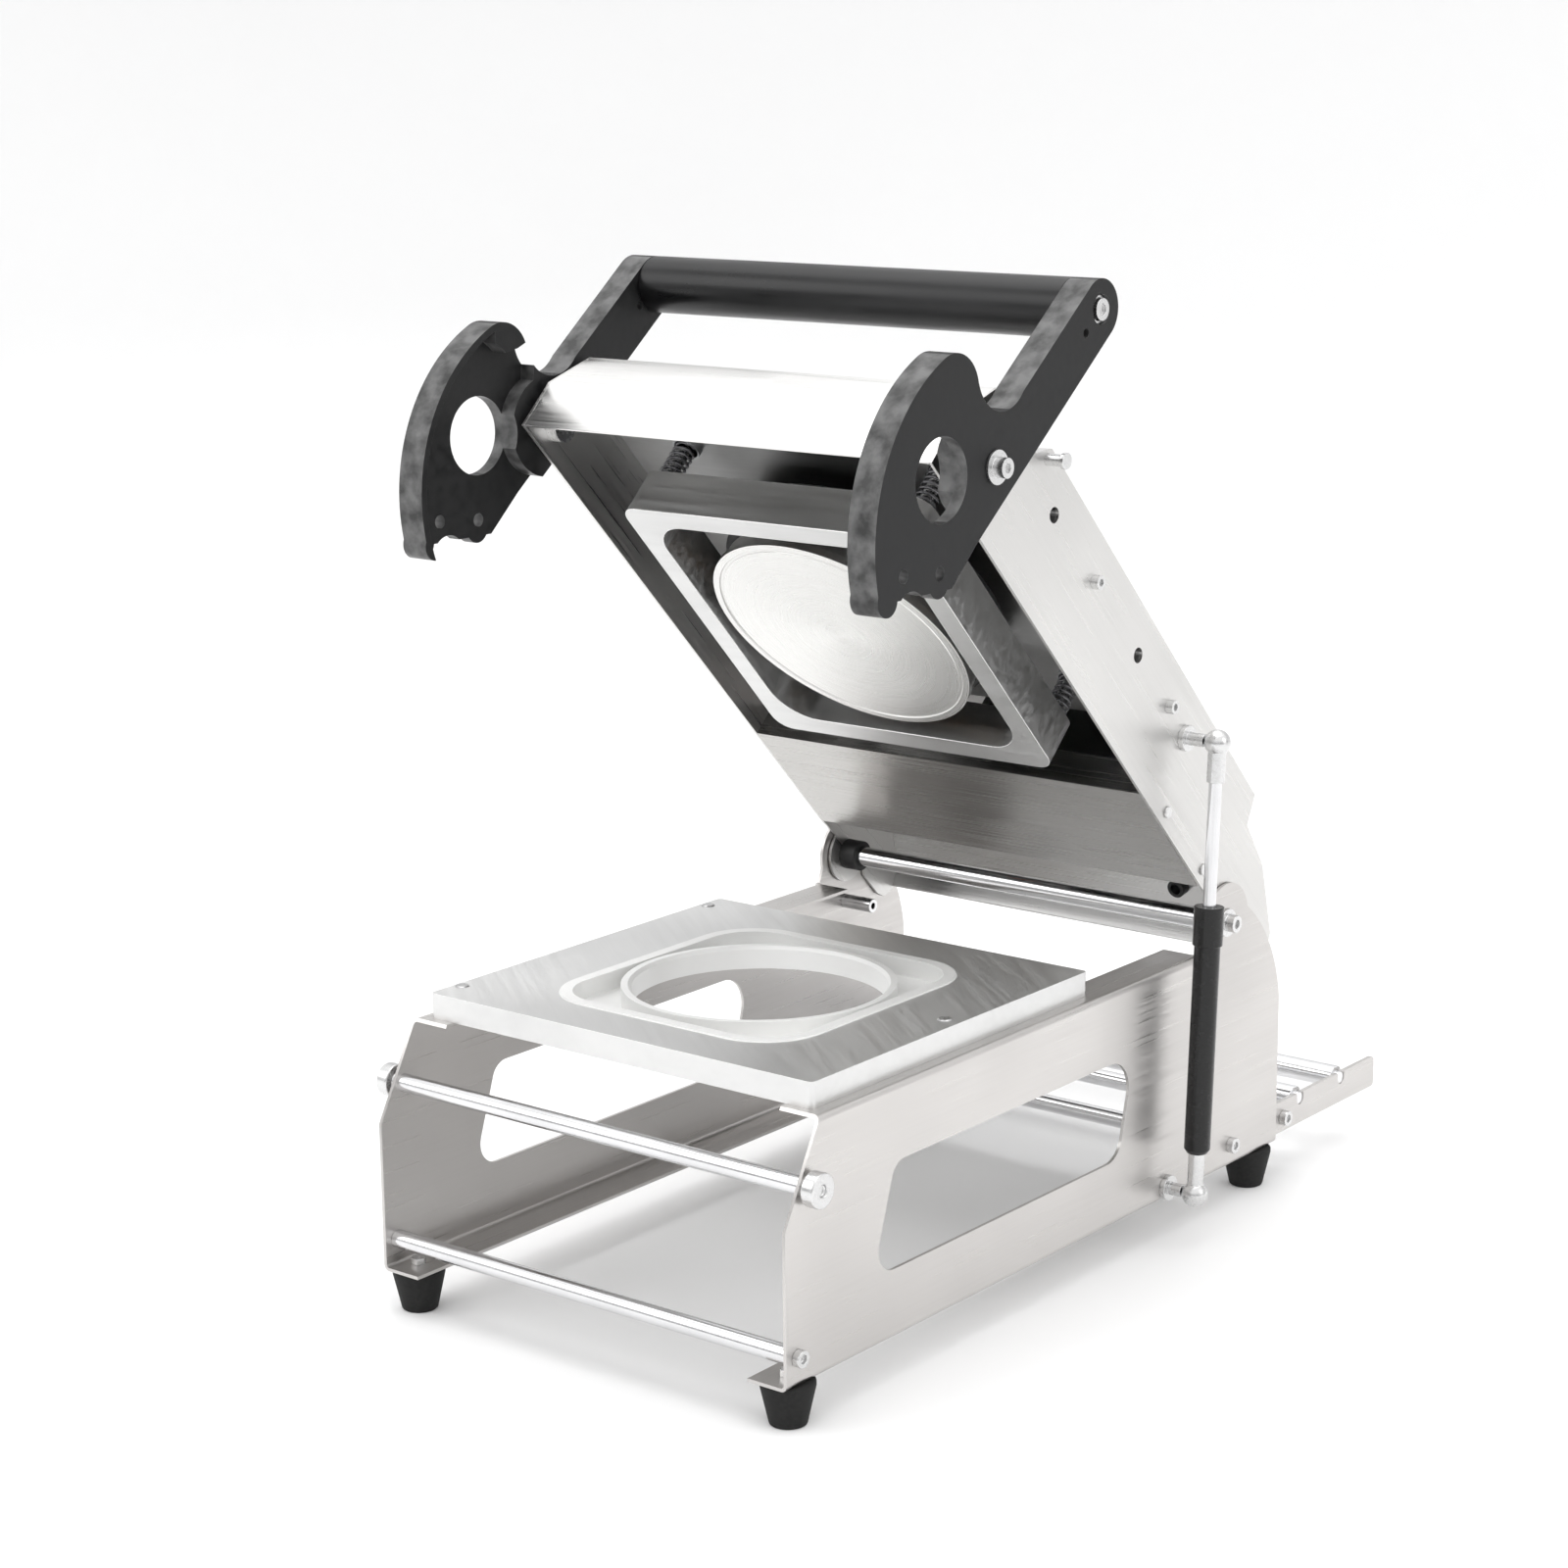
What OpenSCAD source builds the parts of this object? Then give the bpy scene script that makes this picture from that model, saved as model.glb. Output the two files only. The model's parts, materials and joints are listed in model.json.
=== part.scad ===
// Manual tray sealer: a folded steel base with a tool plate, a sprung sealing head on a rear hinge,
// two cam levers joined by a handle bar, a gas spring on the right and a film roll cradle behind.
// Millimetres. X to the right, Y to the back, Z up, floor at Z = 0.

/* [Overall] */
// width over the outer faces of the base side plates
base_w = 300; // [260:1:380]
// length of the base side plates
base_l = 508; // [490:1:620]
// height of the folded top of the side plates above the floor
base_top = 172; // [165:1:210]
// how far the film roll arms run behind the side plates
arm_reach = 132; // [110:1:170]

/* [Base] */
// thickness of the folded sheet
sheet_t = 2; // [1.5:0.1:3]
// height of the rubber feet
foot_h = 25.2; // [20:0.2:32]
// radius of the front and rear cross rods
rod_r = 5.5; // [4:0.1:7]
// thickness of the aluminium tool plate
tool_t = 15.2; // [12:0.1:20]
// radius of the round opening in the bowl insert
bowl_r = 75; // [60:1:76]

/* [Head] */
// how far the head stands open, in degrees
head_open = 46.5; // [30:0.5:55]
// height of the hinge shaft above the folded top
pivot_rise = 15; // [12:0.5:20]
// radius of the hinge shaft
shaft_r = 6.5; // [5:0.1:8]
// height of the head housing
head_h = 76.5; // [74:0.5:95]

/* [Press] */
// radius of the heated platen
platen_r = 84; // [68:1:86]
// how far the clamp frame hangs below the head
clamp_drop = 11.5; // [9:0.5:14]
// outer width of the clamp frame
clamp_w = 209; // [206:1:250]

/* [Lever] */
// thickness of the two cam levers
lever_t = 18; // [15:0.5:22]
// radius of the handle bar
handle_r = 17; // [13:0.5:17]
// length of the lever arm from its pivot to the handle bar
arm_l = 126; // [105:1:155]

/* [Gas spring] */
// radius of the gas spring tube
tube_r = 8; // [6.5:0.1:9.5]

/* [Hidden] */
$fn = 64;

// small gap that keeps moving faces apart
gap = 0.3;
// radial clearance of a running fit
run = 0.05;

// side planes, outwards from the middle
xo = base_w / 2;
xi = xo - sheet_t;
head_xo = xi - 0.5;
head_xi = head_xo - sheet_t;
lever_x0 = xo + 2;
lever_x1 = lever_x0 + lever_t;
gas_x = xo + 20.5;

// base
mid_y = (base_l + arm_reach) / 2;
pivot_y = base_l - 66;
pivot_z = base_top + pivot_rise;
deck_z = base_top + tool_t;
flange_w = 27;
flange_end = pivot_y - 30;
tool_y0 = 36;
tool_l = 264;
tool_hw = xo - 9.4;
press_y = 166;
front_rod = [19.2, 135.5];
low_rod = [9.6, 42.5];
rear_rod = [pivot_y + 9.2, 39.6];
front_z = 115;
slant = 31;
arm_rod = [base_l + 12, 38.6];
stop_at = [pivot_y - 0.6, 154];
stud_r = 10;
web_t = 8;
stud_l = lever_t - web_t + 0.8;
foot_x = xo - 12;
foot_r = 15.5;
foot_ys = [16.2, base_l - 16.2];

// film roll cradle
arm_t = 3;
arm_z0 = foot_h + sheet_t + 2.2;
arm_z1 = 50;
arm_y0 = pivot_y - 4;
arm_y1 = base_l + arm_reach;
roller_r = 7.6;
roller_z = 48;
journal_r = 4;
roller_ys = [base_l + 34, base_l + 87.5];

// bowl insert: a rounded rectangle with a round ring inside
insert_hx = 91;
insert_hy = 97;
insert_r = 38;
ring_w = 6;

// head, measured forwards from the hinge shaft (u) and up from it (v)
front_u = pivot_y + 2;
front_v = -3;
low_top = 64.5;
lever_u = pivot_y - 19.3;
lever_v = 14.2;
press_u = pivot_y - press_y;
lobe_r = 19;
cover_u0 = 40;
cover_u1 = 138;
cover_us = [46, 107];
carrier_v = 48;
carrier_t = 9;
carrier_us = [154, 273];
spare_us = [204, 333];
screw_v = carrier_v + carrier_t / 2;
stop_pin = [front_u - 83, 69.5];
ball_u = 125;
ball_v = screw_v - 2;

// press
clamp_l = clamp_w + 8;
clamp_bar = 15;
clamp_h = 29.5;
clamp_top = clamp_h - clamp_drop;
clamp_r = 12;
clamp_hole_r = 25;
post_x = clamp_w / 2 - 11.5;
post_u = clamp_l / 2 - 12;
post_r = 4;
post_foot = 4;
spring_r = 7.2;
spring_top = 46.2;
cup_mouth = 44;
cup_top = 60.6;
cup_wall = 1.4;
cup_lid = 1.2;
platen_spring_r = 15;
platen_spring_top = 46.9;
platen_cup_top = 60.2;
platen_v = -9;
platen_t = 14;
heater_v = platen_v + platen_t;
heater_t = 6;
insul_v = heater_v + heater_t;
insul_top = 35;
insul_r = platen_r + 3;
well_r = 22;
well_v = 20;
probe_at = [58, 12, 0];
spindle_r = 9;

// levers: the profile is drawn around the lever pivot, Y back and Z up
lever_tilt = 38.4;
lever_back = 20;
rim_at = [-3, -33];
rim_r = 104;
lip_w = 4;
hub_r = 30;
hook_at = [-37, 42];
hook_r = 21.7;
hole_at = [-49, -1.5];
hole_r = 23;
throat_at = [7, 52.5];
throat_r = 23.5;
cam_depth = lever_t - web_t;
bore_r = 6;

// gas spring, from its lower ball to its upper ball
gas_low = [376 - 442 + pivot_y, 33];
gas_up = [pivot_y - ball_u * cos(head_open) + ball_v * sin(head_open),
    pivot_z + ball_u * sin(head_open) + ball_v * cos(head_open)];
gas_run = [gas_up[0] - gas_low[0], gas_up[1] - gas_low[1]];
gas_len = sqrt(gas_run[0] * gas_run[0] + gas_run[1] * gas_run[1]);
gas_tilt = atan2(gas_run[0], gas_run[1]);
gas_rod_r = 4;
gas_shut = [pivot_y - ball_u, pivot_z + ball_v];
gas_short = norm(gas_shut - gas_low);

// ---------- helpers ----------

module placed() translate([0, -mid_y, 0]) children();
module both_sides() { children(); mirror([1, 0, 0]) children(); }
module plate_at(x, t) translate([x, 0, 0]) rotate([90, 0, 90]) linear_extrude(t) children();
module rod_x(x0, x1, p, r) translate([x0, p[0], p[1]]) rotate([0, 90, 0]) cylinder(r = r, h = x1 - x0);

// a convex outline with its own radius at each corner
function unit(v) = v / norm(v);
function to_prev(p, i) = unit(p[(i + len(p) - 1) % len(p)] - p[i]);
function to_next(p, i) = unit(p[(i + 1) % len(p)] - p[i]);
function half_angle(p, i) = acos(to_prev(p, i) * to_next(p, i)) / 2;
function corner_cut(p, r, i) = r[i] / tan(half_angle(p, i));
function corner_mid(p, r, i) =
    p[i] + unit(to_prev(p, i) + to_next(p, i)) * r[i] / sin(half_angle(p, i));
module rounded(p, r) {
    polygon([for (i = [0:len(p) - 1]) each [p[i] + to_prev(p, i) * corner_cut(p, r, i),
        p[i] + to_next(p, i) * corner_cut(p, r, i)]]);
    for (i = [0:len(p) - 1]) if (r[i] > 0.01) translate(corner_mid(p, r, i)) circle(r[i]);
}
module rounded_box(hx, hy, r) {
    square([2 * hx, 2 * hy - 2 * r], center = true);
    square([2 * hx - 2 * r, 2 * hy], center = true);
    for (x = [-1, 1], y = [-1, 1]) translate([x * (hx - r), y * (hy - r)]) circle(r);
}

// socket head screw with its head standing out along +X from x0
module cap_screw(p, x0, r, h, shank_r, shank_l) {
    difference() {
        union() {
            rod_x(x0, x0 + h, p, r);
            rod_x(x0 - shank_l, x0 + 0.01, p, shank_r);
        }
        translate([x0 + h / 2, p[0], p[1]]) rotate([0, 90, 0]) cylinder(r = r * 0.55, h = h, $fn = 6);
    }
}

// head frame: Y runs to the back along the housing, Z out of its top
module on_head() translate([0, pivot_y, pivot_z]) rotate([-head_open, 0, 0]) children();
module on_lever() on_head() translate([0, -lever_u, lever_v]) rotate([head_open, 0, 0]) children();
module on_gas() translate([gas_x, gas_low[0], gas_low[1]]) rotate([-gas_tilt, 0, 0]) children();
module at_press(v) on_head() translate([0, -press_u, v]) children();

// ---------- base ----------

// the flat sheet, left long above and below where the folds trim it
module web_sheet() {
    difference() {
        polygon([[0, foot_h - 9], [0, front_z], [slant, base_top], [slant * 1.2, base_top + 12],
            [pivot_y + 40, base_top + 12], [pivot_y + 40, foot_h - 9]]);
        rounded([[76, 66], [97, 128], [pivot_y - 104, 128], [pivot_y - 120, 66]], [14, 12, 20, 16]);
        translate(front_rod) circle(rod_r);
        translate(low_rod) circle(3);
        translate(rear_rod) circle(3);
    }
    translate([pivot_y + 20, foot_h - 9]) square([base_l - pivot_y - 20, 124 - foot_h]);
    rear_round();
}
module rear_round() intersection() {
    translate([pivot_y - 34, 110]) circle(r = base_l - pivot_y + 35, $fn = 128);
    translate([pivot_y + 20, 100]) square([base_l - pivot_y - 20, pivot_z - 90]);
}
module upright() difference() {
    union() {
        translate([flange_end, base_top - 30]) square([pivot_y + 30 - flange_end, 30]);
        polygon([[pivot_y - 28, base_top - 10], [pivot_y - 28, base_top], [pivot_y - 20, pivot_z + 4],
            [pivot_y + 20, pivot_z + 4], [pivot_y + 40, base_top - 10]]);
        rear_round();
        translate([pivot_y, pivot_z]) circle(25);
    }
    translate([pivot_y, pivot_z]) circle(shaft_r);
}
module fold_profile() difference() {
    translate([xo - 60, foot_h]) rounded([[0, 0], [60, 0], [60, base_top - foot_h],
        [0, base_top - foot_h]], [0, 4, 4, 0]);
    translate([xi - 60, foot_h + sheet_t]) rounded([[0, 0], [60, 0],
        [60, base_top - foot_h - 2 * sheet_t], [0, base_top - foot_h - 2 * sheet_t]], [0, 2, 2, 0]);
    translate([xo - 70, 0]) square([70 - flange_w, base_top + 10]);
}
module side_plate() {
    intersection() {
        translate([0, base_l + 10, 0]) rotate([90, 0, 0]) linear_extrude(base_l + 20) fold_profile();
        difference() {
            plate_at(xo - 60, 62) web_sheet();
            translate([xo - 62, flange_end, base_top - 20]) cube([66, 300, 80]);
            for (y = foot_ys) translate([foot_x, y, 0]) cylinder(r = 2.5, h = foot_h + 10);
        }
    }
    plate_at(xi, sheet_t) upright();
}
module side_plate_right() color([0.78, 0.77, 0.75]) placed() side_plate();
module side_plate_left() color([0.78, 0.77, 0.75]) placed() mirror([1, 0, 0]) side_plate();

module tool_plate() color([0.80, 0.80, 0.79]) placed() difference() {
    translate([0, tool_y0 + tool_l / 2, base_top]) linear_extrude(tool_t)
        rounded_box(tool_hw, tool_l / 2, 3);
    translate([0, press_y, deck_z - 4]) linear_extrude(10) rounded_box(insert_hx, insert_hy, insert_r);
    translate([0, press_y, 0]) linear_extrude(deck_z)
        rounded_box(insert_hx - 6, insert_hy - 6, insert_r - 6);
    for (p = pin_at) translate([p[0], p[1], base_top - 1]) cylinder(r = 3, h = tool_t + 5);
}
pin_at = [[-xo + 15, tool_y0 + 21], [-xo + 15, tool_y0 + tool_l - 18], [xo - 20, press_y + 5]];
module tool_plate_pins() color([0.6, 0.6, 0.6]) placed() for (p = pin_at) translate([p[0], p[1], 0]) {
    translate([0, 0, base_top]) cylinder(r = 3, h = tool_t);
    translate([0, 0, deck_z]) cylinder(r1 = 4.5, r2 = 3.6, h = 0.8);
}
module bowl_insert() color([0.88, 0.88, 0.87]) placed() translate([0, press_y, 0]) difference() {
    union() {
        translate([0, 0, deck_z - 4]) linear_extrude(4) rounded_box(insert_hx, insert_hy, insert_r);
        translate([0, 0, deck_z]) linear_extrude(0.8)
            rounded_box(insert_hx - 0.5, insert_hy - 0.5, insert_r - 0.5);
        translate([0, 0, base_top + 2]) linear_extrude(tool_t - 4)
            rounded_box(insert_hx - 6, insert_hy - 6, insert_r - 6);
    }
    difference() {
        translate([0, 0, base_top + 5]) linear_extrude(40)
            rounded_box(insert_hx - 8, insert_hy - 8, insert_r - 8);
        translate([0, 0, base_top]) cylinder(r = bowl_r + ring_w, h = tool_t + 0.8);
    }
    cylinder(r = bowl_r, h = deck_z + 20);
    translate([0, 0, deck_z - 1.2]) cylinder(r1 = bowl_r, r2 = bowl_r + 2, h = 2.1);
}

module upper_front_rod() color([0.85, 0.85, 0.86]) placed() difference() {
    rod_x(-xo, xo, front_rod, rod_r);
    rod_x(-xo - 1, -xo + 15, front_rod, 2.5);
    rod_x(xo - 15, xo + 1, front_rod, 2.5);
}
module latch_studs() color([0.75, 0.75, 0.76]) placed() both_sides() difference() {
    union() {
        rod_x(xo + 2.8, xo + stud_l, front_rod, stud_r);
        rod_x(xo, xo + 3, front_rod, 5.2);
        rod_x(xo - 14, xo + 0.01, front_rod, 2.5);
    }
    rod_x(xo + stud_l - 2, xo + stud_l + 1, front_rod, 3.4);
}
module lower_front_rod() color([0.85, 0.85, 0.86]) placed() difference() {
    rod_x(-xi, xi, low_rod, rod_r);
    rod_x(-xi - 1, -xi + 13, low_rod, 3);
    rod_x(xi - 13, xi + 1, low_rod, 3);
}
module lower_rear_rod() color([0.85, 0.85, 0.86]) placed() difference() {
    rod_x(-xi, xi, rear_rod, rod_r);
    rod_x(-xi - 1, -xi + 13, rear_rod, 3);
    rod_x(xi - 13, xi + 1, rear_rod, 3);
}
module rod_screws() color([0.7, 0.7, 0.7]) placed() both_sides() {
    cap_screw(low_rod, xo, 5, 4.5, 3, sheet_t + 12);
    cap_screw(rear_rod, xo, 5, 4.5, 3, sheet_t + 12);
}
module hinge_shaft() color([0.8, 0.8, 0.82]) placed() difference() {
    rod_x(-xo, xo, [pivot_y, pivot_z], shaft_r);
    rod_x(-xo - 1, -xo + 14, [pivot_y, pivot_z], 3);
    rod_x(xo - 14, xo + 1, [pivot_y, pivot_z], 3);
}
module hinge_screws() color([0.7, 0.7, 0.7]) placed() both_sides() {
    rod_x(xo, xo + 1.5, [pivot_y, pivot_z], 9);
    cap_screw([pivot_y, pivot_z], xo + 1.5, 5.5, 6, 3, 13);
}
module stop_studs() color([0.7, 0.7, 0.7]) placed() both_sides() difference() {
    rod_x(xi - 24, xi, stop_at, 4.7);
    rod_x(xi - 25, xi - 14, stop_at, 2);
}
module rubber_feet() color([0.08, 0.08, 0.08]) placed() both_sides()
    for (y = foot_ys) translate([foot_x, y, 0]) difference() {
        union() {
            cylinder(r1 = foot_r - 5, r2 = foot_r, h = foot_h - 3);
            translate([0, 0, foot_h - 3]) cylinder(r = foot_r, h = 3);
        }
        translate([0, 0, -1]) cylinder(r = 5.5, h = 8);
        cylinder(r = 2.5, h = foot_h + 1);
    }
module foot_screws() color([0.7, 0.7, 0.7]) placed() both_sides()
    for (y = foot_ys) translate([foot_x, y, 0]) {
        translate([0, 0, 3]) cylinder(r = 4.6, h = 4);
        translate([0, 0, 6.9]) cylinder(r = 2.5, h = foot_h + sheet_t - 6.9);
        translate([0, 0, foot_h + sheet_t]) cylinder(r = 4.6, h = 4, $fn = 6);
    }

// ---------- film roll cradle ----------

module roll_arm() difference() {
    union() {
        plate_at(xi - arm_t, arm_t) rounded([[arm_y0, arm_z0], [arm_y1, arm_z0],
            [arm_y1, arm_z1], [arm_y0, arm_z1]], [3, 3, 3, 3]);
        translate([xi - 14, base_l + 4, arm_z0]) cube([14, arm_reach - 8, 2.5]);
    }
    for (y = roller_ys) {
        rod_x(xi - 20, xi + 1, [y, roller_z - 2], journal_r + run);
        translate([xi - 20, y - journal_r - run, roller_z - 2]) cube([21, 2 * (journal_r + run), 30]);
    }
    rod_x(xi - 20, xi + 1, arm_rod, 3);
    rod_x(xi - 20, xi + 1, rear_rod, rod_r);
}
module roll_arm_right() color([0.72, 0.72, 0.71]) placed() roll_arm();
module roll_arm_left() color([0.72, 0.72, 0.71]) placed() mirror([1, 0, 0]) roll_arm();
module roll_arm_rod() color([0.85, 0.85, 0.86]) placed() difference() {
    rod_x(-xi + arm_t, xi - arm_t, arm_rod, rod_r);
    rod_x(-xi - 1, -xi + 16, arm_rod, 3);
    rod_x(xi - 16, xi + 1, arm_rod, 3);
}
module roll_arm_screws() color([0.7, 0.7, 0.7]) placed() both_sides()
    cap_screw(arm_rod, xi, 5, 4.5, 3, arm_t + 12);
module film_roller(y) placed() {
    rod_x(-xi + arm_t + 1, xi - arm_t - 1, [y, roller_z - 2], roller_r);
    rod_x(-xi + 0.6, xi - 0.6, [y, roller_z - 2], journal_r);
}
module film_roller_front() color([0.86, 0.86, 0.87]) film_roller(roller_ys[0]);
module film_roller_rear() color([0.86, 0.86, 0.87]) film_roller(roller_ys[1]);

// ---------- head housing ----------

// side view of the housing, drawn with Y to the back
function uv(u, v) = [-u, v];
module head_outline() {
    polygon([uv(front_u, front_v), uv(front_u, 30), uv(front_u - 17, low_top),
        uv(front_u - 72, low_top), uv(front_u - 82, head_h), uv(30, head_h), uv(23, 58),
        uv(-12, 52), uv(-54, 28), uv(-60, 14), uv(-56, 3), uv(-48, 0), uv(-26, 0),
        uv(-22, 4), uv(cover_u0, -0.5)]);
}
module head_side() difference() {
    union() {
        plate_at(head_xi, sheet_t) head_outline();
        rod_x(head_xi, head_xo, [0, 0], lobe_r);
    }
    plate_at(head_xi - 1, sheet_t + 2) {
        circle(10);
        translate(uv(lever_u, lever_v)) circle(bore_r);
        for (u = carrier_us) translate(uv(u, screw_v)) circle(3);
        for (u = spare_us) translate(uv(u, screw_v)) circle(4.6);
        translate(uv(ball_u, ball_v)) circle(4);
        translate(stop_pin_at) circle(3.5);
        for (u = cover_us) translate(uv(u, 8)) circle(2);
    }
}
stop_pin_at = [-stop_pin[0], stop_pin[1]];
module head_side_right() color([0.84, 0.83, 0.81]) placed() on_head() head_side();
module head_side_left() color([0.84, 0.83, 0.81]) placed() on_head() mirror([1, 0, 0]) head_side();

shell_t = 1.5;
hood_u = front_u - 72;
module housing_skin(u0, u1) plate_at(-head_xi, 2 * head_xi) intersection() {
    difference() {
        head_outline();
        polygon([uv(front_u - shell_t, -20), uv(front_u - shell_t, 29.7),
            uv(front_u - 18, low_top - shell_t), uv(front_u - 71, low_top - shell_t),
            uv(front_u - 81.4, head_h - shell_t), uv(31, head_h - shell_t), uv(24.2, 56.6),
            uv(-11.5, 50.6), uv(-52.8, 27), uv(-58.4, 14), uv(-58.4, -30), uv(300, -30)]);
    }
    translate([-u1, u0 < 0 ? 14 : -20]) square([u1 - u0, head_h + 40]);
}
module front_hood() color([0.93, 0.93, 0.92]) placed() on_head() housing_skin(hood_u, front_u + 10);
module rear_hood() color([0.93, 0.93, 0.92]) placed() on_head() difference() {
    housing_skin(-80, 30);
    translate(uv3(gland_x, -33, 40)) rotate([-30, 0, 0]) cylinder(r = 6, h = 40, center = true);
}
module top_cover() color([0.93, 0.93, 0.92]) placed() on_head() difference() {
    housing_skin(30, hood_u);
    translate([dial_x, -panel_u, 40]) cylinder(r = 5, h = 60);
    translate([switch_x - 11, -panel_u - 15, 40]) cube([22, 30, 60]);
    translate([lamp_x, -panel_u, 40]) cylinder(r = 5, h = 60);
}
function uv3(x, u, v) = [x, -u, v];
panel_u = 88;
dial_x = 70;
switch_x = -10;
lamp_x = -70;
gland_x = 85;

module rear_cover() color([0.6, 0.6, 0.58]) placed() on_head() difference() {
    union() {
        translate([-head_xi, -cover_u1, -1]) cube([2 * head_xi, cover_u1 - cover_u0, 1.5]);
        translate([-head_xi, -cover_u1, -1]) cube([2 * head_xi, 1.5, 22]);
        both_sides() translate([head_xi - 1.5, -cover_u1, -1])
            cube([1.5, cover_u1 - cover_u0, 18]);
    }
    both_sides() for (u = cover_us) rod_x(head_xi - 5, head_xi + 5, uv(u, 8), 2);
}
module rear_cover_screws() color([0.75, 0.75, 0.75]) placed() on_head() both_sides()
    for (u = cover_us) {
        rod_x(head_xo, head_xo + 1.6, uv(u, 8), 3.6);
        rod_x(head_xi - 4, head_xo + 0.01, uv(u, 8), 2);
    }

module carrier_plate() color([0.55, 0.55, 0.55]) placed() on_head() difference() {
    translate([-head_xi, -front_u + 40, carrier_v])
        cube([2 * head_xi, front_u - 40 - cover_u1 - 5, carrier_t]);
    translate([0, -press_u, 0]) {
        at_posts() cylinder(r = spring_r + 0.4 + cup_wall, h = 100);
        cylinder(r = platen_spring_r + 0.4 + cup_wall, h = 100);
        translate(probe_at) cylinder(r = 6, h = 100);
    }
    both_sides() for (u = carrier_us) rod_x(head_xi - 12, head_xi + 1, uv(u, screw_v), 3);
    both_sides() for (u = spare_us) rod_x(head_xi - 12, head_xi + 1, uv(u, screw_v), 4.6);
}
module carrier_screws() color([0.7, 0.7, 0.7]) placed() on_head() both_sides()
    for (u = carrier_us) cap_screw(uv(u, screw_v), head_xo, 4.2, 5, 3, sheet_t + 11);
module hinge_bushes() color([0.06, 0.06, 0.06]) placed() on_head() both_sides() difference() {
    rod_x(head_xi - 12, head_xo, [0, 0], 10);
    rod_x(head_xi - 20, head_xo + 20, [0, 0], shaft_r + run);
}
module lever_stop_pins() color([0.6, 0.6, 0.6]) placed() on_head() both_sides() {
    rod_x(head_xi - 5, lever_x0 + 6, stop_pin_at, 3.5);
    rod_x(lever_x0 + 6, lever_x0 + 8.5, stop_pin_at, 4.8);
}
module lever_pivots() color([0.75, 0.75, 0.75]) placed() on_head() both_sides() {
    rod_x(head_xo, lever_x0 - gap, uv(lever_u, lever_v), 12);
    rod_x(head_xi - 8, lever_x1 + 2, uv(lever_u, lever_v), bore_r);
    rod_x(head_xi - 8, head_xi, uv(lever_u, lever_v), 9);
    rod_x(lever_x1 + gap, lever_x1 + 1.8, uv(lever_u, lever_v), 9.5);
    difference() {
        rod_x(lever_x1 + 1.8, lever_x1 + 8, uv(lever_u, lever_v), 5.6);
        translate([lever_x1 + 6, -lever_u, lever_v]) rotate([0, 90, 0]) cylinder(r = 3, h = 5, $fn = 6);
    }
}
module upper_ball_stud() color([0.8, 0.8, 0.8]) placed() on_head() {
    rod_x(head_xi - 4, gas_x - 8 - gap, uv(ball_u, ball_v), 4);
    rod_x(head_xo, head_xo + 3.5, uv(ball_u, ball_v), 8);
    translate([head_xi - 4, -ball_u, ball_v]) rotate([0, 90, 0]) cylinder(r = 7, h = 4, $fn = 6);
}
module spring_sleeve(r0, r1, v0, v1) translate([0, 0, v0]) difference() {
    cylinder(r = r1, h = v1 - v0);
    translate([0, 0, -1]) cylinder(r = r0, h = v1 - v0 + 2);
}
module at_posts() for (x = [-1, 1], s = [-1, 1]) translate([x * post_x, s * post_u, 0]) children();
module cup(r, v0, v1, hole) difference() {
    translate([0, 0, v0]) cylinder(r = r + cup_wall, h = v1 - v0);
    translate([0, 0, v0 - 1]) cylinder(r = r, h = v1 - v0 + 1 - cup_lid);
    cylinder(r = hole, h = 100);
}
module spring_cups() color([0.6, 0.6, 0.6]) placed() at_press(0) {
    at_posts() cup(spring_r + 0.4, cup_mouth, cup_top, post_r);
    cup(platen_spring_r + 0.4, carrier_v, platen_cup_top, spindle_r + run);
}
module clamp_springs() color([0.35, 0.35, 0.35]) placed() at_press(0)
    at_posts() spring_sleeve(post_r + 0.6, spring_r, clamp_top, spring_top);
module platen_spring() color([0.35, 0.35, 0.35]) placed() at_press(0)
    spring_sleeve(spindle_r + 2, platen_spring_r, well_v, platen_spring_top);

// ---------- controls on top of the head ----------

module thermostat_body() color([0.2, 0.2, 0.2]) placed() on_head() translate([dial_x, -panel_u, 0]) {
    difference() {
        translate([-22, -22, 28]) cube([44, 44, head_h - shell_t - 28]);
        translate([0, 0, 50]) cylinder(r = 4.2 + run, h = 60);
    }
}
module dial_plate() color([0.85, 0.85, 0.85]) placed() on_head() translate([dial_x, -panel_u, head_h])
    difference() {
        cylinder(r = 25, h = 1);
        translate([0, 0, -1]) cylinder(r = 5, h = 3);
    }
module indicator_lamp() color([0.8, 0.25, 0.1]) placed() on_head() translate([lamp_x, -panel_u, 0]) {
    translate([0, 0, head_h - 22]) cylinder(r = 5, h = 22);
    translate([0, 0, head_h]) cylinder(r1 = 7, r2 = 5.5, h = 3);
}
module switch_housing() color([0.05, 0.05, 0.05]) placed() on_head() translate([switch_x, -panel_u, 0])
    difference() {
        union() {
            translate([-11, -15, head_h - 26]) cube([22, 30, 26]);
            translate([-13, -17, head_h]) cube([26, 34, 2]);
        }
        translate([-9, -13, head_h - 8]) cube([18, 26, 20]);
    }
module cable_gland() color([0.05, 0.05, 0.05]) placed() on_head() translate(uv3(gland_x, -33, 40))
    rotate([-30, 0, 0]) difference() {
        union() {
            translate([0, 0, 0.1]) cylinder(r = 10, h = 5, $fn = 6);
            translate([0, 0, 5]) cylinder(r1 = 8.5, r2 = 7, h = 9);
            translate([0, 0, -8]) cylinder(r = 6, h = 9);
        }
        translate([0, 0, -10]) cylinder(r = 3.6, h = 40);
    }
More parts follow.
